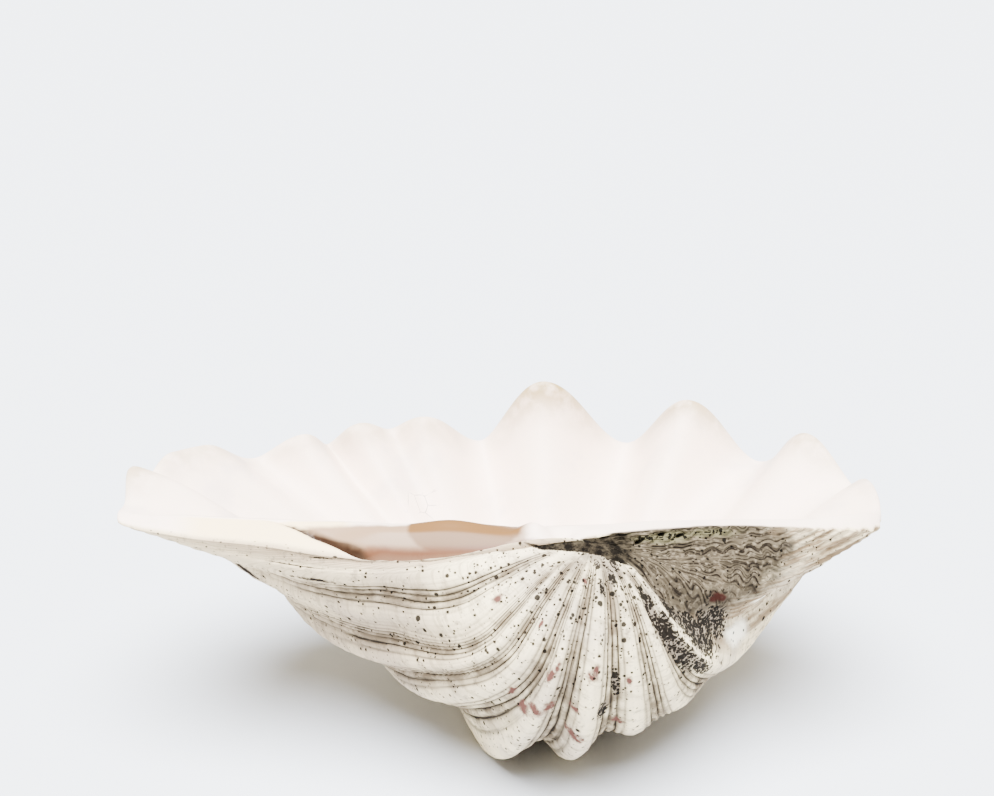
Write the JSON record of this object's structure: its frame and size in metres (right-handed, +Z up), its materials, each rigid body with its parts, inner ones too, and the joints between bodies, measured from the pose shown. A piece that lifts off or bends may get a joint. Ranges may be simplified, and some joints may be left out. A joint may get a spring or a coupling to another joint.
{
  "type": "giant clam shell",
  "caption": "One valve of a giant clam, lying hollow side up: a deep folded bowl with a scalloped edge and a broad hinge plate.",
  "frame": {"origin": "centre of the box's footprint, on the surface that the valve rests on", "axes": "+X along the hinge towards the front corner, +Y from the hinge towards the folded free edge, +Z up, out of the hollow"},
  "size_m": [0.6632, 0.4716, 0.2396],
  "materials": {
    "shell": "worn, chalky off-white outside, smooth and satin inside"
  },
  "bodies": {
    "root": {"clam_shell": "shell"}
  },
  "joints": []
}
